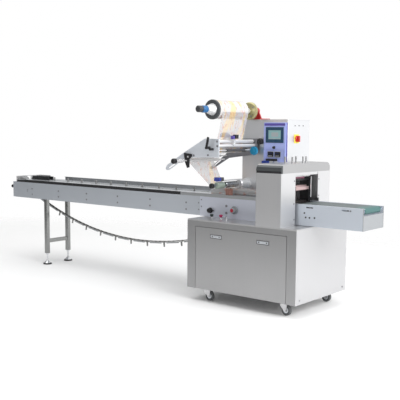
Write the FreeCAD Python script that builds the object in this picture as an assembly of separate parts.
import FreeCAD, Part
import math
import os

# Horizontal flow wrapper, millimetres. The machine frame has x = 0 at the left end of the cabinet and x growing
# towards the discharge, y = 0 at the cabinet front and y growing to the back, z = 0 at the floor.
# main() moves everything so that the origin is the middle of the machine's footprint on the floor.

SHEET = 3.0                  # stainless sheet of every cover
PLATE = 4.0                  # conveyor side plates
GAP = 3.0                    # panel joint

CABINET_LENGTH = 960.0
CABINET_DEPTH = 700.0
DECK_TOP = 616.0
DECK_THICK = 10.0
CASTER_HEIGHT = 95.0
PANEL_SIDE = 77.0            # frame left of the front panel
PANEL_TOP = 566.0
PANEL_DEPTH = 20.0
PULL_LENGTH = 104.0
PULL_HEIGHT = 28.0
PULL_INSET = 144.0           # pull to the panel's upright edge
PULL_DROP = 66.0             # pull to the deck top

WHEEL_RADIUS = 37.5
WHEEL_WIDTH = 25.0
CASTER_TRAIL = 24.0
CASTER_INSET_X = 140.0
CASTER_INSET_Y = 74.0

CHANNEL_FRONT = 205.0        # outer face of the front side plate
CHANNEL_BACK = 505.0
CHANNEL_LOW = 619.0
CHANNEL_HIGH = 768.0
CHANNEL_LIP = 20.0
MAIN_START = -49.0
INFEED_LENGTH = 2382.0
INFEED_START = MAIN_START - INFEED_LENGTH
BED_TOP = 790.0
STRIP_WIDTH = 20.0
STRIP_TOP = 792.0
STRIP_END = MAIN_START - 201.0
GUIDE_TOP = 820.0
TAIL_CROSSES = (296.0, 686.0, 1071.0)     # cross plates, measured from the tail end
MAIN_CROSSES = (916.0, 533.0, 141.0)      # cross plates, measured from the main section
FENCE_INSET = 430.0          # tail end to the rear fence
GUARD_LENGTH = 216.0

CHAIN_Y = 355.0
CHAIN_WIDTH = 16.0
CHAIN_THICK = 12.0
CHAIN_WHEEL = 45.0           # pitch radius of every chain wheel
CHAIN_LOW = 327.0            # lowest point of the slack run
TAIL_DROP = 363.1152         # the slack run's lowest point below its touch on the tail wheel
DRIVE_DROP = 179.5456        # and below its touch on the drive wheel
TAIL_TANGENT = INFEED_START + 72.0
DRIVE_TANGENT = 160.0
SLACK_SHARE = math.sqrt(TAIL_DROP) / (math.sqrt(TAIL_DROP) + math.sqrt(DRIVE_DROP))
CHAIN_LOW_X = TAIL_TANGENT + SLACK_SHARE * (DRIVE_TANGENT - TAIL_TANGENT)
CHAIN_SAG = TAIL_DROP / (TAIL_TANGENT - CHAIN_LOW_X) ** 2     # half the curvature of the slack run
HEAD_X = 60.0
LUG_COUNT = 28
LUG_TALL = 40.0
SLOT_HALF = 17.0             # half the slot of the bed and the deck

LEG_X = INFEED_START + 483.0
LEG_LONG = 40.0
LEG_DEEP = 35.0
LEG_FOOT = 105.0
RAIL_LOW = 205.0
RAIL_HIGH = 240.0
PAD_RADIUS = 40.0

COLUMN_LEFT = 134.0
COLUMN_RIGHT = 552.0
COLUMN_BACK = 820.0
COLUMN_TOP = 1360.0
HMI_LEFT = 345.0
HMI_RIGHT = 543.0
HMI_LOW = 1031.0
HMI_HIGH = 1340.0
HMI_THICK = 12.0

REEL_X = 229.0
REEL_Z = 1428.0
DISC_RADIUS = 72.0
FILM_RADIUS = 68.0
FILM_FRONT = 14.0
FILM_WIDTH = 340.0
FILM_THICK = 2.0             # the soft web stands for a few loose layers
CORE_RADIUS = 38.0

STAND_FRONT = 20.0
STAND_PLATE = 8.0
UPPER_X = 258.0
TUBE_X = 263.0
UPPER_Z = 1197.0
TUBE_Z = 1165.0
NIP_X = 226.0
NIP_Z = 1131.0
NIP_RADIUS = 16.0
RUN = 0.05                   # running clearance on the radius
IDLER_RADIUS = 13.0
TWIN_X = -23.0
TWIN_Z = 1050.0
TWIN_RISE = 30.0
TWIN_SHIFT = 18.0
TWIN_RADIUS = 12.0

DRAW_X = 188.0
DRAW_Z = 868.0
FORMER_X = 40.0
TUBE_HALF = 62.0
TUBE_TALL = 44.0

HOUSING_LEFT = 622.0
HOUSING_RIGHT = 830.0
HOUSING_BACK = 659.0
HOUSING_TOP = 986.0
HOOD_LOW = HOUSING_TOP + 16.0
HOOD_TOP = HOOD_LOW + 48.0
HOOD_ROUND = 46.0
WINDOW_FRONT = 182.0
WINDOW_BACK = 488.0

JAW_X = 729.0
JAW_MID = 812.0
JAW_REACH = 56.0             # half the distance between the two jaw shafts
JAW_TIP = 52.0
JAW_FRONT = 262.0
JAW_BACK = 448.0

DISCHARGE_END = 1342.0
BELT_RADIUS = 20.0
BELT_Z = 746.0
BELT_THICK = 2.0


def block(x, y, z):
    return Part.makeBox(x[1] - x[0], y[1] - y[0], z[1] - z[0], FreeCAD.Vector(x[0], y[0], z[0]))


def rod(radius, start, end):
    start = FreeCAD.Vector(*start)
    along = FreeCAD.Vector(*end) - start
    return Part.makeCylinder(radius, along.Length, start, along)


def pipe(outer, inner, start, end):
    return rod(outer, start, end).cut(rod(inner, start, end))


def prism(points, axis, low, high):
    """A flat outline pushed along x, y or z; each point lists the other two coordinates in order."""
    corners = []
    for first, second in points:
        corner = {"x": (low, first, second), "y": (first, low, second), "z": (first, second, low)}[axis]
        corners.append(FreeCAD.Vector(*corner))
    push = {"x": (high - low, 0, 0), "y": (0, high - low, 0), "z": (0, 0, high - low)}[axis]
    outline = Part.makePolygon(corners + corners[:1])
    return Part.Face(outline).extrude(FreeCAD.Vector(*push))


def spin(profile, centre, axis):
    """A solid of revolution: profile points (radius, distance along the axis) about a line through centre."""
    points = [FreeCAD.Vector(radius, 0, along) for radius, along in profile]
    face = Part.Face(Part.makePolygon(points + points[:1]))
    solid = face.revolve(FreeCAD.Vector(0, 0, 0), FreeCAD.Vector(0, 0, 1), 360)
    turn = FreeCAD.Rotation(FreeCAD.Vector(0, 0, 1), FreeCAD.Vector(*axis))
    solid.Placement = FreeCAD.Placement(FreeCAD.Vector(*centre), turn)
    return solid


def soften(shape, radius, axis):
    """Round the straight edges that run along an axis."""
    pick = {"x": 0, "y": 1, "z": 2}[axis]
    edges = []
    for edge in shape.Edges:
        start, end = edge.Vertexes[0].Point, edge.Vertexes[-1].Point
        along = end - start
        if along.Length > 0.5 and abs(abs(along[pick]) - along.Length) < 1e-6:
            edges.append(edge)
    return shape.makeFillet(radius, edges)


def joined(shapes):
    whole = shapes[0]
    for shape in shapes[1:]:
        whole = whole.fuse(shape)
    return whole.removeSplitter()


def without(shape, cutters):
    for cutter in cutters:
        shape = shape.cut(cutter)
    return shape


def together(shapes):
    return Part.makeCompound(shapes)


def channel_plate(start, end, front, low):
    """A side plate with its lips turned towards the middle of the conveyor."""
    if front:
        outer = CHANNEL_FRONT
        inner = outer + PLATE
        lip = inner + CHANNEL_LIP
    else:
        outer = CHANNEL_BACK
        inner = outer - PLATE
        lip = inner - CHANNEL_LIP
    web = block((start, end), sorted((outer, inner)), (low, CHANNEL_HIGH))
    top = block((start, end), sorted((inner, lip)), (CHANNEL_HIGH - SHEET, CHANNEL_HIGH))
    bottom = block((start, end), sorted((inner, lip)), (low, low + SHEET))
    return joined([web, top, bottom])


def chain_centres():
    """Centres of the tail, head and drive wheels, each touching the slack run or level with the tail."""
    def touch(x):
        slope = 2 * CHAIN_SAG * (x - CHAIN_LOW_X)
        lean = math.atan(slope)
        z = CHAIN_LOW + CHAIN_SAG * (x - CHAIN_LOW_X) ** 2
        return (x - CHAIN_WHEEL * math.sin(lean), z + CHAIN_WHEEL * math.cos(lean))
    tail = touch(TAIL_TANGENT)
    return tail, (HEAD_X, tail[1]), touch(DRIVE_TANGENT)


def chain_points():
    """The chain's pitch line, clockwise from the tail's top as (x, z, outward angle)."""
    tail, head, drive = chain_centres()
    points = []

    def wrap(centre, first, last, count):
        for step in range(count + 1):
            angle = first + (last - first) * step / count
            points.append((centre[0] + CHAIN_WHEEL * math.cos(angle), centre[1] + CHAIN_WHEEL * math.sin(angle), angle))

    side = math.atan2(drive[0] - head[0], head[1] - drive[1])
    wrap(head, math.pi / 2, side, 10)
    slope_in = math.atan(2 * CHAIN_SAG * (DRIVE_TANGENT - CHAIN_LOW_X))
    wrap(drive, side, -math.pi / 2 + slope_in, 10)
    steps = 48
    for step in range(1, steps):
        x = DRIVE_TANGENT + (TAIL_TANGENT - DRIVE_TANGENT) * step / steps
        slope = 2 * CHAIN_SAG * (x - CHAIN_LOW_X)
        points.append((x, CHAIN_LOW + CHAIN_SAG * (x - CHAIN_LOW_X) ** 2, -math.pi / 2 + math.atan(slope)))
    slope_out = math.atan(2 * CHAIN_SAG * (TAIL_TANGENT - CHAIN_LOW_X))
    wrap(tail, -math.pi / 2 + slope_out, -3 * math.pi / 2, 12)
    return points


def shifted(points, distance):
    return [(x + distance * math.cos(a), z + distance * math.sin(a)) for x, z, a in points]


def along_chain(points, distance):
    """Place and outward angle at a distance along the closed pitch line."""
    ring = points + points[:1]
    for first, second in zip(ring, ring[1:]):
        length = math.hypot(second[0] - first[0], second[1] - first[1])
        if distance <= length:
            share = distance / length
            swing = (second[2] - first[2] + math.pi) % (2 * math.pi) - math.pi
            return (first[0] + share * (second[0] - first[0]), first[1] + share * (second[1] - first[1]),
                    first[2] + share * swing)
        distance -= length
    return ring[-1]


def chain_length(points):
    ring = points + points[:1]
    return sum(math.hypot(b[0] - a[0], b[1] - a[1]) for a, b in zip(ring, ring[1:]))


def tangent(first, second):
    """Where a straight web leaves one roller and meets the next; a stop is (x, z, radius, turn)."""
    x1, z1, r1, t1 = first
    x2, z2, r2, t2 = second
    reach = math.hypot(x2 - x1, z2 - z1)
    lean = math.asin((t2 * r2 - t1 * r1) / reach)
    heading = math.atan2(z2 - z1, x2 - x1) - lean
    left = (-math.sin(heading), math.cos(heading))
    return ((x1 - t1 * r1 * left[0], z1 - t1 * r1 * left[1]),
            (x2 - t2 * r2 * left[0], z2 - t2 * r2 * left[1]))


def web_line(stops):
    """Points of a web running over the stops."""
    points = []
    for index in range(len(stops) - 1):
        leave, meet = tangent(stops[index], stops[index + 1])
        points.append(leave)
        points.append(meet)
        following = stops[index + 1]
        if index + 2 < len(stops):
            away, _ = tangent(following, stops[index + 2])
            first = math.atan2(meet[1] - following[1], meet[0] - following[0])
            last = math.atan2(away[1] - following[1], away[0] - following[0])
            swing = (last - first) % (2 * math.pi)
            if following[3] < 0:
                swing -= 2 * math.pi
            for step in range(1, 6):
                angle = first + swing * step / 6
                points.append((following[0] + following[2] * math.cos(angle),
                               following[1] + following[2] * math.sin(angle)))
    return points


def ribbon(points, thick, front, back):
    """An open web: the line thickened to both sides and pushed across the machine."""
    left = []
    right = []
    for index, point in enumerate(points):
        before = points[max(index - 1, 0)]
        after = points[min(index + 1, len(points) - 1)]
        length = math.hypot(after[0] - before[0], after[1] - before[1])
        side = (-(after[1] - before[1]) / length * thick / 2, (after[0] - before[0]) / length * thick / 2)
        left.append((point[0] + side[0], point[1] + side[1]))
        right.append((point[0] - side[0], point[1] - side[1]))
    return prism(left + right[::-1], "y", front, back)


# ---------------------------------------------------------------- cabinet

def cabinet_shell():
    length, depth, top = CABINET_LENGTH, CABINET_DEPTH, DECK_TOP - DECK_THICK
    outer = block((0, length), (0, depth), (CASTER_HEIGHT, top))
    inner = block((SHEET, length - SHEET), (SHEET, depth - SHEET), (CASTER_HEIGHT + SHEET, top + SHEET))
    right = length - PANEL_SIDE
    doorway = block((PANEL_SIDE, right), (-SHEET, SHEET * 2), (0, PANEL_TOP))
    chain_hole = block((-SHEET, 2 * SHEET), (CHAIN_Y - 45, CHAIN_Y + 45), (370, 560))
    shell = without(outer, [inner, doorway, chain_hole])
    rim = block((PANEL_SIDE - SHEET, right + SHEET), (0, PANEL_DEPTH + SHEET), (CASTER_HEIGHT, PANEL_TOP + SHEET))
    throat = block((PANEL_SIDE, right), (-SHEET, PANEL_DEPTH), (0, PANEL_TOP))
    window = block((PANEL_SIDE + 20, right - 20), (0, 2 * PANEL_DEPTH), (CASTER_HEIGHT + 20, PANEL_TOP - 20))
    return joined([shell, without(rim, [throat, window])])


def front_panel():
    left, right = PANEL_SIDE + GAP, CABINET_LENGTH - PANEL_SIDE - GAP
    low, high = CASTER_HEIGHT + GAP, PANEL_TOP - GAP
    pan = block((left, right), (0, PANEL_DEPTH), (low, high))
    hollow = block((left + SHEET, right - SHEET), (SHEET, PANEL_DEPTH), (low + SHEET, high - SHEET))
    return without(pan, [hollow] + [block(x, (-SHEET, SHEET), z) for x, z in pull_places()])


def pull_places():
    high = DECK_TOP - PULL_DROP - 34
    left = PANEL_SIDE + PULL_INSET
    right = CABINET_LENGTH - PANEL_SIDE - PULL_INSET
    return [((left, left + PULL_LENGTH), (high - PULL_HEIGHT, high)),
            ((right - PULL_LENGTH, right), (high - PULL_HEIGHT, high))]


def panel_pulls():
    pulls = []
    for x, z in pull_places():
        cup = soften(block(x, (0, 16), z), 4, "y")
        rim = block((x[0] - 4, x[1] + 4), (-2, 0), (z[0] - 4, z[1] + 4))
        hollow = block((x[0] + 4, x[1] - 4), (-2, 13), (z[0] + 4, z[1] - 4))
        pulls.append(joined([cup, rim]).cut(hollow))
    return pulls


def deck_plate():
    deck = block((0, CABINET_LENGTH), (0, CABINET_DEPTH), (DECK_TOP - DECK_THICK, DECK_TOP))
    slot = block((HEAD_X, HEAD_X + 170), (CHAIN_Y - 45, CHAIN_Y + 45), (0, DECK_TOP + 1))
    return soften(deck, 3, "z").cut(slot)


def caster_places():
    for name, x in (("left", CASTER_INSET_X), ("right", CABINET_LENGTH - CASTER_INSET_X)):
        for side, y in (("front", CASTER_INSET_Y), ("back", CABINET_DEPTH - CASTER_INSET_Y)):
            yield side + "_" + name, x, y


def caster_plates():
    plates = []
    for _, x, y in caster_places():
        plate = soften(block((x - 35, x + 35), (y - 35, y + 35), (CASTER_HEIGHT - 4, CASTER_HEIGHT)), 6, "z")
        race = rod(24, (x, y, CASTER_HEIGHT - 12), (x, y, CASTER_HEIGHT - 4))
        plates.append(joined([plate, race]))
    return plates


def caster_fork(x, y):
    top = CASTER_HEIGHT - 12
    half = WHEEL_WIDTH / 2 + 3
    axle = x + CASTER_TRAIL
    crown = rod(26, (x, y, top - 3), (x, y, top))
    bridge = block((x - 18, axle + 10), (y - half - SHEET, y + half + SHEET), (top - SHEET, top))
    cheek = [(x - 18, top), (x - 18, top - 14), (axle - 9, WHEEL_RADIUS - 8), (axle + 9, WHEEL_RADIUS - 8),
             (axle + 12, top - 12), (axle + 10, top)]
    near = prism(cheek, "y", y - half - SHEET, y - half)
    far = prism(cheek, "y", y + half, y + half + SHEET)
    pin = rod(5, (axle, y - half - 6, WHEEL_RADIUS), (axle, y + half + 6, WHEEL_RADIUS))
    return joined([crown, bridge, near, far, pin])


def caster_wheel(x, y):
    half = WHEEL_WIDTH / 2
    outer = WHEEL_RADIUS
    profile = [(5 + RUN, -half), (12, -half), (12, -half + 4), (outer - 9, -half + 4), (outer - 9, -half + 1),
               (outer - 4, -half + 1), (outer, -half + 5), (outer, half - 5), (outer - 4, half - 1),
               (outer - 9, half - 1), (outer - 9, half - 4), (12, half - 4), (12, half), (5 + RUN, half)]
    return spin(profile, (x + CASTER_TRAIL, y, outer), (0, 1, 0))


# ---------------------------------------------------------------- infeed conveyor

def side_plates(start, end, low):
    return [channel_plate(start, end, True, low), channel_plate(start, end, False, low)]


def cross_stations():
    return [INFEED_START + inset for inset in TAIL_CROSSES] + [MAIN_START - inset for inset in MAIN_CROSSES]


def cross_plates():
    plates = []
    for x in cross_stations():
        plate = block((x - 4, x + 4), (CHANNEL_FRONT + PLATE, CHANNEL_BACK - PLATE), (690, BED_TOP - SHEET))
        notch = block((x - 5, x + 5), (CHAIN_Y - SLOT_HALF - SHEET, CHAIN_Y + SLOT_HALF + SHEET),
                      (chain_rail_low(), BED_TOP))
        strips = [block((x - 5, x + 5), (low, high), (CHANNEL_HIGH - SHEET, BED_TOP))
                  for low, high in ((CHANNEL_FRONT, CHANNEL_FRONT + PLATE + CHANNEL_LIP),
                                    (CHANNEL_BACK - PLATE - CHANNEL_LIP, CHANNEL_BACK))]
        plates.append(without(plate, [notch] + strips))
    return plates


def infeed_frame():
    """Side plates welded to the cross plates, their bottom lips notched for the legs."""
    frame = joined(side_plates(INFEED_START, MAIN_START, CHANNEL_LOW) + cross_plates())
    half = LEG_LONG / 2 + 1
    notches = []
    for low, high in ((CHANNEL_FRONT + PLATE, CHAIN_Y), (CHAIN_Y, CHANNEL_BACK - PLATE)):
        notches.append(block((LEG_X - half, LEG_X + half), (low, high), (CHANNEL_LOW - 1, CHANNEL_LOW + 10)))
    return without(frame, notches)


def chain_rail_low():
    return chain_centres()[1][1] + CHAIN_WHEEL - CHAIN_THICK / 2 - 30


def chain_rail():
    tail, head, _ = chain_centres()
    top = head[1] + CHAIN_WHEEL - CHAIN_THICK / 2
    half = CHAIN_WIDTH / 2
    return block((tail[0] + 75, head[0] - 55), (CHAIN_Y - half, CHAIN_Y + half), (chain_rail_low(), top))


def bed_strips(start, end):
    inner = CHAIN_Y - SLOT_HALF, CHAIN_Y + SLOT_HALF
    strips = []
    for low, high in ((CHANNEL_FRONT + STRIP_WIDTH, inner[0]), (inner[1], CHANNEL_BACK - STRIP_WIDTH / 2)):
        strips.append(block((start, end), (low, high), (BED_TOP - SHEET, BED_TOP)))
    front_lip = block((start, end), (inner[0] - SHEET, inner[0]), (BED_TOP - 14, BED_TOP))
    back_lip = block((start, end), (inner[1], inner[1] + SHEET), (BED_TOP - 14, BED_TOP))
    return [joined([strips[0], front_lip]), joined([strips[1], back_lip])]


def edge_strip():
    y = (CHANNEL_FRONT, CHANNEL_FRONT + STRIP_WIDTH)
    outline = [(CHANNEL_HIGH, INFEED_START + 60), (STRIP_TOP - 12, INFEED_START + 60),
               (STRIP_TOP, INFEED_START + 190), (STRIP_TOP, STRIP_END), (CHANNEL_HIGH, STRIP_END)]
    return prism([(x, z) for z, x in outline], "y", *y)


def edge_rail():
    low = (CHANNEL_HIGH, BED_TOP + 2)
    return block((STRIP_END, HOUSING_LEFT - 2), (CHANNEL_FRONT, CHANNEL_FRONT + STRIP_WIDTH), low)


def rear_guide():
    y = (CHANNEL_BACK - STRIP_WIDTH / 2, CHANNEL_BACK)
    foot = block((INFEED_START + 20, HOUSING_LEFT - 2), y, (CHANNEL_HIGH, BED_TOP))
    long = (INFEED_START + FENCE_INSET, COLUMN_LEFT)
    fence = block(long, (y[1] - SHEET, y[1]), (BED_TOP, GUIDE_TOP))
    lip = block(long, (y[1] - STRIP_WIDTH / 2 - 2, y[1]), (GUIDE_TOP - SHEET, GUIDE_TOP))
    return joined([foot, fence, lip])


def tail_guard():
    start = INFEED_START + 56
    y = (CHANNEL_FRONT, CHANNEL_BACK - STRIP_WIDTH / 2)
    end = block((start - SHEET, start), y, (CHANNEL_HIGH, GUIDE_TOP + 3))
    far = block((start, INFEED_START + GUARD_LENGTH), (y[1] - SHEET, y[1]), (BED_TOP, GUIDE_TOP + 3))
    near = prism([(start, STRIP_TOP), (start, GUIDE_TOP + 3), (start + 130, STRIP_TOP + 8),
                  (start + 130, STRIP_TOP)], "y", y[0] + STRIP_WIDTH - SHEET, y[0] + STRIP_WIDTH)
    foot = block((start - SHEET, start + 4), y, (CHANNEL_HIGH, CHANNEL_HIGH + SHEET))
    slot = block((start - 10, start + 10), (CHAIN_Y - 20, CHAIN_Y + 20), (CHANNEL_HIGH - 1, GUIDE_TOP - 2))
    return joined([end, far, near, foot]).cut(slot)


def tail_cheeks():
    cheeks = []
    for low in (CHAIN_Y - SLOT_HALF - 14, CHAIN_Y + SLOT_HALF + 2):
        start, end = INFEED_START + 135, INFEED_START + FENCE_INSET - 35
        cheek = [(start, BED_TOP), (start + 16, GUIDE_TOP + 4), (end, GUIDE_TOP + 4), (end, BED_TOP)]
        cheeks.append(prism(cheek, "y", low, low + 12))
    return cheeks


def tail_shaft():
    x, z = chain_centres()[0]
    shaft = rod(10, (x, CHANNEL_FRONT + PLATE, z), (x, CHANNEL_BACK - PLATE, z))
    wheel = chain_wheel(x, z)
    blocks = []
    for low, high in ((CHANNEL_FRONT + PLATE, CHANNEL_FRONT + PLATE + 18), (CHANNEL_BACK - PLATE - 18, CHANNEL_BACK - PLATE)):
        blocks.append(block((x - 26, x + 26), (low, high), (z - 22, z + 22)))
    return joined([shaft, wheel] + blocks)


def chain_wheel(x, z):
    """Wheel disc, hub and blunt teeth under the chain."""
    rim = CHAIN_WHEEL - CHAIN_THICK / 2 - 0.6
    half = CHAIN_WIDTH / 2
    profile = [(9, -18), (18, -18), (18, -4), (rim - 5, -4), (rim, -half + 4), (rim, half - 4), (rim - 5, 4),
               (18, 4), (18, 18), (9, 18)]
    return spin(profile, (x, CHAIN_Y, z), (0, 1, 0))


def head_shaft():
    _, (x, z), _ = chain_centres()
    shaft = rod(10, (x, CHANNEL_FRONT + PLATE, z), (x, CHANNEL_BACK - PLATE, z))
    return joined([shaft, chain_wheel(x, z)])


def drive_shaft():
    x, z = chain_centres()[2]
    shaft = rod(12, (x, CHAIN_Y - 30, z), (x, CHAIN_Y + 120, z))
    motor = rod(55, (x, CHAIN_Y + 60, z), (x, CABINET_DEPTH - SHEET, z))
    return joined([shaft, chain_wheel(x, z), motor])


def pusher_chain():
    points = chain_points()
    outer = prism(shifted(points, CHAIN_THICK / 2), "y", CHAIN_Y - CHAIN_WIDTH / 2, CHAIN_Y + CHAIN_WIDTH / 2)
    inner = prism(shifted(points, -CHAIN_THICK / 2), "y", CHAIN_Y - CHAIN_WIDTH, CHAIN_Y + CHAIN_WIDTH)
    return outer.cut(inner)


def lug_places():
    points = chain_points()
    pitch = chain_length(points) / LUG_COUNT
    return [along_chain(points, pitch * (index + 0.5)) for index in range(LUG_COUNT)]


def pusher_lugs():
    lugs = []
    half = CHAIN_THICK / 2 + 0.2
    for x, z, angle in lug_places():
        foot = block((-22, 22), (-7, 7), (half, half + 4))
        finger = prism([(-5, half + 2), (5, half + 2), (3, half + LUG_TALL), (-3, half + LUG_TALL)], "y", -6, 6)
        lug = joined([foot, finger])
        turn = FreeCAD.Rotation(FreeCAD.Vector(0, 1, 0), 90 - math.degrees(angle))
        lug.Placement = FreeCAD.Placement(FreeCAD.Vector(x, CHAIN_Y, z), turn)
        lugs.append(lug)
    return together(lugs)


def tension_knob():
    """Black knob on the chain tensioner's screw, which pushes the tail bearing."""
    x, y, z = INFEED_START, CHANNEL_FRONT + PLATE + 9, 720
    profile = [(0, 6), (6, 6), (14, 8), (16, 12), (16, 28), (12, 31), (0, 31)]
    tail = chain_centres()[0][0] - 26
    return joined([rod(6, (x - 8, y, z), (tail, y, z)), spin(profile, (x, y, z), (-1, 0, 0))])


def infeed_legs():
    """Two rectangular tubes with their fixing plates, tied by the cross rail."""
    pieces = []
    front, back = CHANNEL_FRONT + PLATE, CHANNEL_BACK - PLATE
    for low, plate in ((front + 2, front), (back - 2 - LEG_DEEP, back - 2)):
        x = (LEG_X - LEG_LONG / 2, LEG_X + LEG_LONG / 2)
        pieces.append(soften(block(x, (low, low + LEG_DEEP), (LEG_FOOT, 700)), 4, "z"))
        pieces.append(block((x[0] - 24, x[1] + 24), (plate, plate + 2), (630, 740)))
    rail = block((LEG_X - 15, LEG_X + 15), (front + 2 + LEG_DEEP, back - 2 - LEG_DEEP), (RAIL_LOW, RAIL_HIGH))
    pieces.append(soften(rail, 3, "y"))
    return joined(pieces)


def leg_feet():
    feet = []
    for low in (CHANNEL_FRONT + PLATE + 2, CHANNEL_BACK - PLATE - 2 - LEG_DEEP):
        profile = [(0, 0), (PAD_RADIUS, 0), (PAD_RADIUS, 10), (PAD_RADIUS - 4, 13), (14, 32), (10, 36), (10, 40),
                   (8, 40), (8, LEG_FOOT - 14), (15, LEG_FOOT - 14), (15, LEG_FOOT), (0, LEG_FOOT)]
        feet.append(spin(profile, (LEG_X, low + LEG_DEEP / 2, 0), (0, 0, 1)))
    return together(feet)


# ---------------------------------------------------------------- column and controls

def column():
    body = block((COLUMN_LEFT, COLUMN_RIGHT), (CHANNEL_BACK, COLUMN_BACK), (DECK_TOP, COLUMN_TOP))
    body = soften(body, 4, "z")
    lid = block((COLUMN_LEFT - 2, COLUMN_RIGHT + 2), (CHANNEL_BACK - 2, COLUMN_BACK + 2), (COLUMN_TOP, COLUMN_TOP + 4))
    return joined([body, lid])


def hmi_panel():
    face = CHANNEL_BACK
    panel = soften(block((HMI_LEFT, HMI_RIGHT), (face - HMI_THICK, face), (HMI_LOW, HMI_HIGH)), 5, "y")
    bezel = block((364, 524), (face - HMI_THICK, face - HMI_THICK + 4), (1187, 1305))
    recess = block((364, 528), (face - HMI_THICK, face - HMI_THICK + 5), (1050, 1136))
    return without(panel, [bezel, recess])


def hmi_screen():
    face = CHANNEL_BACK - HMI_THICK + 4
    frame = block((364, 524), (face - 7, face), (1187, 1305))
    glass = block((388, 500), (face - 8, face - 6), (1213, 1282))
    return without(frame, [glass])


def controllers():
    """The two temperature controllers, the selector knob and the blue switch block below the panel."""
    face = CHANNEL_BACK - HMI_THICK + 5
    units = []
    for left in (385, 449):
        units.append(soften(block((left, left + 47), (face - 10, face), (1080, 1118)), 3, "y"))
    knob = [(0, 0), (11, 0), (11, 5), (8, 7), (8, 17), (6, 19), (0, 19)]
    units.append(spin(knob, (441, CHANNEL_BACK - HMI_THICK, 1151), (0, -1, 0)))
    return together(units)


def main_switch():
    x = COLUMN_RIGHT
    base = spin([(0, 0), (25, 0), (25, 10), (22, 13), (0, 13)], (x, 630, 1217), (1, 0, 0))
    grip = soften(block((x + 13, x + 30), (623, 637), (1194, 1240)), 3, "x")
    return joined([base, grip])


# ---------------------------------------------------------------- film reel

def reel_bracket():
    """The red bracket on the column, carrying the reel's bearing."""
    low = COLUMN_TOP + 4
    foot = block((196, 300), (CHANNEL_BACK, 640), (low, low + 8))
    web = prism([(198, low + 8), (298, low + 8), (262, REEL_Z + 20), (196, REEL_Z + 20)], "y", 520, 532)
    bearing = rod(30, (REEL_X, 506, REEL_Z), (REEL_X, 560, REEL_Z))
    bore = rod(13.5 + RUN, (REEL_X, 500, REEL_Z), (REEL_X, 570, REEL_Z))
    return joined([foot, web, bearing]).cut(bore)


def reel_shaft():
    back = FILM_FRONT + FILM_WIDTH
    profile = [(0, -72), (18, -72), (18, -64), (25, -60), (44, -4), (44, 3), (26, 10), (26, 14), (CORE_RADIUS, 14),
               (CORE_RADIUS, back + 8), (22, 440), (13.5, 446), (13.5, 585), (0, 585)]
    return spin(profile, (REEL_X, 0, REEL_Z), (0, 1, 0))


def reel_front():
    """Front disc on the cone, and in front of the cone the blue collar with its black knob."""
    ring = [(44, -4), (DISC_RADIUS - 3, -4), (DISC_RADIUS, -1), (DISC_RADIUS, 10), (DISC_RADIUS - 3, 14),
            (26, 14), (26, 10), (44, 3)]
    knob = [(0, -72), (26, -72), (26, -112), (22, -118), (17, -119), (17, -124), (24, -126), (24, -160), (20, -165),
            (0, -165)]
    return together([spin(profile, (REEL_X, 0, REEL_Z), (0, 1, 0)) for profile in (ring, knob)])


def rear_disc():
    profile = [(13.5, 454), (60, 454), (68, 460), (68, 474), (62, 480), (13.5, 480)]
    return spin(profile, (REEL_X, 0, REEL_Z), (0, 1, 0))


def film_roll():
    front, back = FILM_FRONT, FILM_FRONT + FILM_WIDTH
    profile = [(CORE_RADIUS, front), (FILM_RADIUS - 1, front), (FILM_RADIUS, front + 1), (FILM_RADIUS, back - 1),
               (FILM_RADIUS - 1, back), (CORE_RADIUS, back)]
    return spin(profile, (REEL_X, 0, REEL_Z), (0, 1, 0))


# ---------------------------------------------------------------- unwind stand

def stand_outline():
    return [(276, 1081), (276, 1216), (145, 1217), (-60, 1108), (-228, 1010), (-243, 985), (-232, 972),
            (-210, 972), (-38, 1074)]


def unwind_plate():
    plate = prism(stand_outline(), "y", STAND_FRONT, STAND_FRONT + STAND_PLATE)
    slot = prism([(-215, 986), (-205, 982), (-92, 1048), (-98, 1060), (-214, 992)], "y", 0, 60)
    holes = [rod(6, (x, 0, z), (x, CHANNEL_FRONT, z)) for x, z in twin_places()]
    return without(plate, [slot] + holes)


def rear_arm():
    """The back arm of the stand, set off the column on its tie rods."""
    back = CHANNEL_BACK
    outline = [(290, 1096), (290, 1216), (150, 1216), (-30, 1076), (-162, 984), (-168, 970), (-154, 962), (20, 1060)]
    plate = prism(outline, "y", back - 25, back - 25 + STAND_PLATE)
    slot = prism([(-146, 978), (-60, 1036), (-66, 1046), (-150, 986)], "y", 0, back)
    spacers = [rod(12, (x, back - 20, z), (x, back, z)) for x, z in ((165, 1190), (165, 1110), (275, 1190), (275, 1110))]
    return joined([plate.cut(slot)] + spacers)


def stand_rods():
    """Chrome tie rods and roller pins from the front plate to the rear arm, and the two long roller shafts."""
    front, back = STAND_FRONT + STAND_PLATE, CHANNEL_BACK - 25
    places = ((TUBE_X, TUBE_Z, 12), (150, 1190, 9), (120, 1145, 9), (UPPER_X, UPPER_Z, 5),
              (NIP_X, NIP_Z, 5))
    rods = [rod(radius, (x, front, z), (x, back, z)) for x, z, radius in places]
    return together(rods + twin_shafts())


def roller(x, z, radius, bore, front, back):
    """A tube roller with its end hubs."""
    profile = [(bore, front), (radius - 2, front), (radius, front + 2), (radius, back - 2), (radius - 2, back),
               (bore, back)]
    return spin(profile, (x, 0, z), (0, 1, 0))


def upper_idler():
    return roller(UPPER_X, UPPER_Z, IDLER_RADIUS, 5 + RUN, STAND_FRONT + 20, CHANNEL_BACK - 40)


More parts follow.
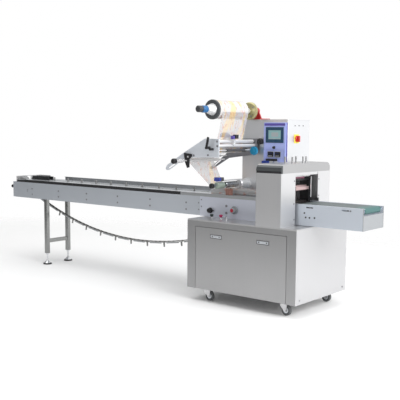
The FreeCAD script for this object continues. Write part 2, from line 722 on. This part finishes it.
def nip_roller():
    front, back = 95, 430
    profile = [(5 + RUN, front), (NIP_RADIUS - 3, front)]
    rings = 12
    for ring in range(rings):
        start = front + 6 + ring * (back - front - 12) / rings
        profile += [(NIP_RADIUS - 3, start), (NIP_RADIUS, start + 2), (NIP_RADIUS, start + 18), (NIP_RADIUS - 3, start + 20)]
    profile += [(NIP_RADIUS - 3, back), (5 + RUN, back)]
    return spin(profile, (NIP_X, 0, NIP_Z), (0, 1, 0))


def twin_places():
    return ((TWIN_X, TWIN_Z), (TWIN_X + TWIN_SHIFT, TWIN_Z + TWIN_RISE))


def twin_roller(x, z):
    return roller(x, z, TWIN_RADIUS, 6 + RUN, STAND_FRONT + 20, 402)


def twin_shafts():
    """The two shafts of the lower rollers with the adjusting collars in front."""
    (x1, z1), (x2, z2) = twin_places()
    back = CHANNEL_BACK - 25
    long_shaft = rod(6, (x1, -112, z1), (x1, back, z1))
    collars = [pipe(15, 5.5, (x1, y, z1), (x1, y + 12, z1)) for y in (-84, -66)]
    eye = pipe(13, 5.5, (x1, -40, z1), (x1, -31, z1))
    short_shaft = rod(6, (x2, 4, z2), (x2, back, z2))
    return [joined([long_shaft, eye] + collars), short_shaft]


def twin_levers():
    """Black levers clamping the roller shafts to the front plate and to the rear arm."""
    outline = [(-48, 1108), (24, 1100), (26, 1086), (2, 1060), (0, 1000), (-16, 996), (-40, 1046), (-42, 1070)]
    front = prism(outline, "y", 8, STAND_FRONT)
    holes = [rod(6, (x, 0, z), (x, 600, z)) for x, z in twin_places()]
    return without(front, holes)


def shaft_knob():
    return spin([(0, -112), (12, -112), (20, -116), (20, -142), (15, -148), (0, -148)], (TWIN_X, 0, TWIN_Z), (0, 1, 0))


def clamp_lever():
    """Black clamp lever and its lock knob in front of the front plate."""
    hub = rod(10, (190, -22, 1150), (190, STAND_FRONT, 1150))
    arm = prism([(182, 1150), (198, 1148), (214, 1226), (200, 1230)], "y", -22, -12)
    lock = rod(9, (222, -16, 1140), (222, STAND_FRONT, 1140))
    return [joined([hub, arm]), lock]


def gear_knob():
    """Toothed adjusting wheel and stem at the column end of the nip roller."""
    x, z = NIP_X + 60, NIP_Z - 8
    points = []
    teeth = 14
    for index in range(teeth * 2):
        radius = 34 if index % 2 else 30
        angle = math.pi * index / teeth
        points.append((x + radius * math.cos(angle), z + radius * math.sin(angle)))
    return joined([prism(points, "y", 440, 456), rod(9, (x, 434, z), (x, CHANNEL_BACK - 25, z))])


def ring_knob():
    """Knob with a dark ring on the column's face."""
    return spin([(0, 0), (12, 0), (12, 14), (24, 16), (24, 24), (18, 28), (0, 28)],
                (318, CHANNEL_BACK, 1196), (0, -1, 0))


def stand_levers():
    return together([twin_levers(), shaft_knob(), gear_knob(), ring_knob()] + clamp_lever())


def photo_eye():
    """Print-mark sensor clamped to the upper tie rod, beside the web."""
    x, z = 150, 1190
    body = prism([(170, 1226), (212, 1226), (224, 1242), (192, 1262), (170, 1246)], "y", 168, 232)
    clamp = pipe(15, 9, (x, 210, z), (x, 232, z))
    arm = prism([(x + 4, z + 8), (x + 13, z + 4), (x + 40, 1230), (x + 28, 1234)], "y", 214, 230)
    return joined([body, clamp, arm.cut(rod(9, (x, 200, z), (x, 240, z)))])


def web_stops():
    """Rollers in the order the web meets them, ending at the former's mouth."""
    loose = 0.3 + FILM_THICK / 2
    lower, upper = twin_places()
    return [(REEL_X, REEL_Z, FILM_RADIUS + loose, -1), (UPPER_X, UPPER_Z, IDLER_RADIUS + loose, 1),
            (NIP_X, NIP_Z, NIP_RADIUS + loose, -1), (*upper, TWIN_RADIUS + loose, 1),
            (*lower, TWIN_RADIUS + loose, 1), (FORMER_X - 34, BED_TOP + TUBE_TALL + 4, 0, 1)]


def film_upper():
    return ribbon(web_line(web_stops())[:-1], FILM_THICK, FILM_FRONT + 26, FILM_FRONT + FILM_WIDTH)


def film_lower():
    """The web closing from the full width towards the former."""
    line = web_line(web_stops())
    half = FILM_THICK / 2
    wide = (line[-2], FILM_FRONT + 26, FILM_FRONT + FILM_WIDTH)
    narrow = (line[-1], CHAIN_Y - TUBE_HALF - 20, CHAIN_Y + TUBE_HALF + 20)
    wires = []
    for (x, z), front, back in (wide, narrow):
        corners = ((x - half, front), (x - half, back), (x + half, back), (x + half, front))
        ring = [FreeCAD.Vector(first, second, z) for first, second in corners]
        wires.append(Part.makePolygon(ring + ring[:1]))
    return Part.makeLoft(wires, True, True)


def former():
    """The folding box: a sheet trough whose mouth flares towards the web."""
    def ring(x, half, low, high):
        points = [FreeCAD.Vector(x, CHAIN_Y - half, low), FreeCAD.Vector(x, CHAIN_Y + half, low),
                  FreeCAD.Vector(x, CHAIN_Y + half, high), FreeCAD.Vector(x, CHAIN_Y - half, high)]
        return Part.makePolygon(points + points[:1])
    low = BED_TOP
    outer = Part.makeLoft([ring(FORMER_X - 30, TUBE_HALF + 22, low, low + TUBE_TALL + 16),
                           ring(FORMER_X + 120, TUBE_HALF + 4, low, low + TUBE_TALL + 2)], True, True)
    inner = Part.makeLoft([ring(FORMER_X - 31, TUBE_HALF + 20, low - 4, low + TUBE_TALL + 14),
                           ring(FORMER_X + 121, TUBE_HALF + 2, low - 4, low + TUBE_TALL)], True, True)
    return outer.cut(inner)


def film_tube():
    """The closed tube of film over the bed, open along the chain slot."""
    x = (FORMER_X + 120, HOUSING_LEFT + 18)
    outer = soften(block(x, (CHAIN_Y - TUBE_HALF, CHAIN_Y + TUBE_HALF), (BED_TOP, BED_TOP + TUBE_TALL)), 14, "x")
    inner = soften(block((x[0] - 1, x[1] + 1), (CHAIN_Y - TUBE_HALF + 1.5, CHAIN_Y + TUBE_HALF - 1.5),
                         (BED_TOP + 1.5, BED_TOP + TUBE_TALL - 1.5)), 12, "x")
    return outer.cut(inner)


# ---------------------------------------------------------------- draw shaft

def draw_shaft():
    """Cantilevered shaft with its black hub, rubbered roller and steel drum."""
    profile = [(0, 40), (16, 40), (19.5, 44), (19.5, 62), (9, 62), (9, 105), (22, 105), (25, 109), (25, 186),
               (22, 190), (9, 190), (9, 205), (22, 208), (24, 212), (24, 352), (20, 358), (9, 360), (9, 500), (0, 500)]
    return spin(profile, (DRAW_X, 0, DRAW_Z), (0, 1, 0))


def draw_bracket():
    """White bearing housing on the column, the beam along the shaft and the blue guide block on its end."""
    back = CHANNEL_BACK
    housing = spin([(9 + RUN, back - 120), (30, back - 120), (34, back - 112), (34, back - 20), (42, back - 16), (42, back),
                    (9 + RUN, back)], (DRAW_X, 0, DRAW_Z), (0, 1, 0))
    beam = block((DRAW_X - 10, DRAW_X + 10), (112, back - 90), (DRAW_Z + 30, DRAW_Z + 38))
    guide = soften(block((DRAW_X - 26, DRAW_X + 22), (112, 172), (DRAW_Z + 32, DRAW_Z + 60)), 5, "y")
    return joined([housing, beam, guide])


# ---------------------------------------------------------------- end-seal housing and jaws

def housing():
    """Bent sheet cabinet over the jaws with a tunnel window in both ends and the rails the hood rests on."""
    x = (HOUSING_LEFT, HOUSING_RIGHT)
    outer = block(x, (0, HOUSING_BACK), (DECK_TOP, HOUSING_TOP))
    inner = block((x[0] + SHEET, x[1] - SHEET), (SHEET, HOUSING_BACK - SHEET), (DECK_TOP - 1, HOUSING_TOP + 1))
    tunnel = block((x[0] - 1, x[1] + 1), (WINDOW_FRONT, WINDOW_BACK), (CHANNEL_HIGH, HOUSING_TOP - SHEET))
    low = block((x[0] - 1, x[1] + 1), (WINDOW_FRONT, CHANNEL_BACK + 2), (DECK_TOP - 1, CHANNEL_HIGH + 26))
    walls = without(outer, [inner, tunnel, low])
    inside = (x[0] + SHEET, x[1] - SHEET)
    front = block(inside, (SHEET, 26), (HOUSING_TOP - 20, HOOD_LOW))
    back = block(inside, (HOUSING_BACK - 26, HOUSING_BACK - SHEET), (HOUSING_TOP - 20, HOOD_LOW))
    leaves = []
    for start in (x[0] + 20, x[1] - 70):
        leaf = block((start, start + 50), (HOUSING_BACK, HOUSING_BACK + SHEET), (HOOD_LOW - 40, HOOD_LOW - 6))
        barrel = rod(5, (start, HOUSING_BACK + 6, HOOD_LOW - 3), (start + 50, HOUSING_BACK + 6, HOOD_LOW - 3))
        leaves.append(joined([leaf, barrel]))
    bar = block((x[1] - 26, x[1] - SHEET), (26, HOUSING_BACK - 26), (HOUSING_TOP - 20, HOUSING_TOP - 2))
    return joined([walls, front, back, bar] + leaves)


def hood():
    """Rounded sheet hood; at the sides it drops to the housing, at the front it leaves the dark joint open."""
    r = HOOD_ROUND

    def arc(y, first, last, radius):
        turns = [math.radians(a) for a in range(first, last + 1, 15)]
        return [(y + radius * math.cos(t), HOOD_TOP - r + radius * math.sin(t)) for t in turns]

    def outline(inset):
        low = HOOD_LOW - (1 if inset else 0)
        radius = r - inset
        return ([(inset, low), (HOUSING_BACK - inset, low)] + arc(HOUSING_BACK - r, 0, 90, radius)
                + arc(r, 90, 180, radius))
    outer = prism(outline(0), "x", HOUSING_LEFT, HOUSING_RIGHT)
    inner = prism(outline(SHEET), "x", HOUSING_LEFT + SHEET, HOUSING_RIGHT - SHEET)
    sides = []
    for x in (HOUSING_LEFT, HOUSING_RIGHT - SHEET):
        sides.append(block((x, x + SHEET), (SHEET, HOUSING_BACK - SHEET), (HOUSING_TOP, HOOD_LOW)))
    knuckle = rod(5, (HOUSING_LEFT + 80, HOUSING_BACK + 6, HOOD_LOW - 3), (HOUSING_RIGHT - 80, HOUSING_BACK + 6, HOOD_LOW - 3))
    leaf = block((HOUSING_LEFT + 80, HOUSING_RIGHT - 80), (HOUSING_BACK, HOUSING_BACK + SHEET), (HOOD_LOW - 1, HOOD_LOW + 22))
    return joined([outer.cut(inner)] + sides + [knuckle, leaf] + hood_studs())


def hood_studs():
    """Posts standing on the hood."""
    places = ((700, 248), (760, 248), (700, 392), (760, 392), (760, 434))
    return [rod(7, (x, y, HOOD_TOP - 1), (x, y, HOOD_TOP + 44)) for x, y in places]


def jaw_blocks():
    """Black bearing blocks that hold the two jaw shafts."""
    blocks = []
    for low, high in ((CHANNEL_FRONT + 10, CHANNEL_FRONT + 40), (CHANNEL_BACK - 40, CHANNEL_BACK - 10)):
        body = soften(block((JAW_X - 38, JAW_X + 38), (low, high), (DECK_TOP, JAW_MID + 110)), 6, "y")
        bores = [rod(17 + RUN, (JAW_X, low - 1, z), (JAW_X, high + 1, z)) for z in (JAW_MID - JAW_REACH, JAW_MID + JAW_REACH)]
        blocks.append(without(body, bores))
    top = JAW_MID + 110
    blocks.append(block((JAW_X - 38, JAW_X + 38), (CHANNEL_FRONT + 10, CHANNEL_BACK - 10), (top, top + 14)))
    return joined(blocks)


def jaw(z):
    """A shaft with two opposed heated bars; both jaws stand with their bars level at rest."""
    shaft = rod(17, (JAW_X, CHANNEL_FRONT + 6, z), (JAW_X, CHANNEL_BACK - 6, z))
    hub = soften(block((JAW_X - 30, JAW_X + 30), (JAW_FRONT, JAW_BACK), (z - 20, z + 20)), 5, "y")
    bar = block((JAW_X - JAW_TIP, JAW_X + JAW_TIP), (JAW_FRONT + 6, JAW_BACK - 6), (z - 11, z + 11))
    grooves = []
    for index in range(-2, 3):
        for side in (-1, 1):
            x = JAW_X + side * JAW_TIP
            grooves.append(block((x - 1.5, x + 1.5), (JAW_FRONT, JAW_BACK), (z + index * 4 - 1, z + index * 4 + 1)))
    return joined([shaft, hub, without(bar, grooves)])


# ---------------------------------------------------------------- discharge

def discharge_frame():
    """Slotted side plates tied by the end rollers, the slider plate and the end panel."""
    start = HOUSING_RIGHT - 60
    front, back = side_plates(start, DISCHARGE_END, CHANNEL_LOW)
    slots = []
    for x in (905, 1180):
        slots.append(block((x, x + 56), (CHANNEL_FRONT - 1, CHANNEL_FRONT + PLATE + 1), (744, 752)))
    y = (CHANNEL_FRONT + PLATE, CHANNEL_BACK - PLATE)
    ties = [rod(9, (x, y[0], BELT_Z), (x, y[1], BELT_Z)) for x in (900, 1100, 1230)]
    slider = block((875, 1280), (242, 468), (BELT_Z - 4, BELT_Z + BELT_RADIUS))
    wall = block((DISCHARGE_END - SHEET - 1, DISCHARGE_END - 1), y, (CHANNEL_LOW, 720))
    rollers = []
    for x in belt_ends():
        rollers.append(rod(BELT_RADIUS, (x, 244, BELT_Z), (x, 466, BELT_Z)))
        rollers.append(rod(8, (x, y[0], BELT_Z), (x, y[1], BELT_Z)))
    return joined([without(front, slots), back, slider, wall] + ties + rollers)


def belt_ends():
    return (HOUSING_RIGHT + 10, DISCHARGE_END - 28)


def discharge_belt():
    left, right = belt_ends()
    y = (240, 470)
    def loop(radius, inset):
        low, high = y[0] + inset, y[1] - inset
        middle = block((left, right), (low, high), (BELT_Z - radius, BELT_Z + radius))
        ends = [rod(radius, (x, low, BELT_Z), (x, high, BELT_Z)) for x in (left, right)]
        return joined([middle] + ends)
    return loop(BELT_RADIUS + BELT_THICK, 0).cut(loop(BELT_RADIUS, -1))


# ---------------------------------------------------------------- small controls

def pointer_knob():
    face = CHANNEL_FRONT
    body = spin([(0, 0), (22, 0), (22, 6), (17, 9), (17, 24), (14, 27), (0, 27)], (55, face, 665), (0, -1, 0))
    pointer = prism([(60, 670), (60, 660), (97, 662), (97, 668)], "y", face - 12, face - 6)
    return joined([body, pointer])


def dial_knob():
    """Grey dial with its red knob."""
    return spin([(0, 0), (30, 0), (30, 8), (26, 11), (26, 8), (20, 8), (20, 34), (17, 38), (0, 38)],
                (288, CHANNEL_FRONT, 683), (0, -1, 0))


def deck_spindles():
    """Three spindles standing in the deck before the conveyor, two of them capped."""
    spindles = []
    for x, tall, cap in ((137, 14, 20), (224, 16, 20), (275, 26, 0)):
        profile = [(0, 0), (11, 0), (11, 3), (6, 4), (6, tall)]
        if cap:
            profile += [(9, tall), (14, tall + 12), (14, tall + 16), (10, tall + cap)]
        profile.append((0, tall + cap))
        spindles.append(spin(profile, (x, 120, DECK_TOP), (0, 0, 1)))
    return together(spindles)


def caster_parts():
    parts = {}
    for name, x, y in caster_places():
        parts["caster_fork_" + name] = caster_fork(x, y)
        parts["caster_wheel_" + name] = caster_wheel(x, y)
    return parts


def cabinet_parts():
    return {
        "cabinet_shell": joined([cabinet_shell()] + caster_plates()),
        "front_panel": joined([front_panel()] + panel_pulls()),
        "deck_plate": deck_plate(),
        "pointer_knob": pointer_knob(),
        "dial_knob": dial_knob(),
        "deck_spindles": deck_spindles(),
    }


def conveyor_parts():
    return {
        "main_side_plates": together(side_plates(MAIN_START, JAW_X - 41, DECK_TOP)),
        "infeed_frame": infeed_frame(),
        "chain_rail": chain_rail(),
        "bed_strips": together(bed_strips(INFEED_START + 60, HOUSING_LEFT + 20)),
        "edge_strips": together([edge_strip()] + tail_cheeks()),
        "guide_rails": together([rear_guide(), edge_rail()]),
        "tail_guard": tail_guard(),
        "chain_wheels": together([tail_shaft(), head_shaft(), drive_shaft()]),
        "pusher_chain": pusher_chain(),
        "pusher_lugs": pusher_lugs(),
        "tension_knob": tension_knob(),
        "infeed_legs": infeed_legs(),
        "leg_feet": leg_feet(),
    }


def column_parts():
    return {
        "column": column(),
        "hmi_panel": hmi_panel(),
        "hmi_screen": hmi_screen(),
        "controllers": controllers(),
        "main_switch": main_switch(),
    }


def reel_parts():
    return {
        "reel_bracket": reel_bracket(),
        "reel_shaft": reel_shaft(),
        "reel_front": reel_front(),
        "reel_rear_disc": rear_disc(),
        "film_roll": film_roll(),
    }


def unwind_parts():
    lower, upper = twin_places()
    return {
        "unwind_plate": unwind_plate(),
        "unwind_rear_arm": rear_arm(),
        "stand_rods": stand_rods(),
        "stand_levers": stand_levers(),
        "upper_idler": upper_idler(),
        "nip_roller": nip_roller(),
        "lower_roller_a": twin_roller(*lower),
        "lower_roller_b": twin_roller(*upper),
        "photo_eye": photo_eye(),
        "film_web": joined([film_upper(), film_lower()]),
        "former": former(),
        "film_tube": film_tube(),
        "draw_shaft": draw_shaft(),
        "draw_bracket": draw_bracket(),
    }


def sealing_parts():
    return {
        "housing": housing(),
        "hood": hood(),
        "upper_jaw": jaw(JAW_MID + JAW_REACH),
        "lower_jaw": jaw(JAW_MID - JAW_REACH),
        "jaw_blocks": jaw_blocks(),
        "discharge_frame": discharge_frame(),
        "discharge_belt": discharge_belt(),
    }


def build():
    parts = {}
    for group in (cabinet_parts, caster_parts, conveyor_parts, column_parts, reel_parts, unwind_parts, sealing_parts):
        parts.update(group())
    return parts


def middle(parts):
    """From the machine frame to the middle of the footprint."""
    box = together(list(parts.values())).BoundBox
    return FreeCAD.Vector(-(box.XMin + box.XMax) / 2, -(box.YMin + box.YMax) / 2, 0)


def main():
    os.makedirs("parts", exist_ok=True)
    parts = build()
    shift = middle(parts)
    print("shift", shift)
    for name, shape in parts.items():
        shape.translate(shift)
        print(name, shape.isValid(), len(shape.Solids), shape.BoundBox)
        shape.exportStep("parts/" + name + ".step")


if __name__ == "__main__":
    main()
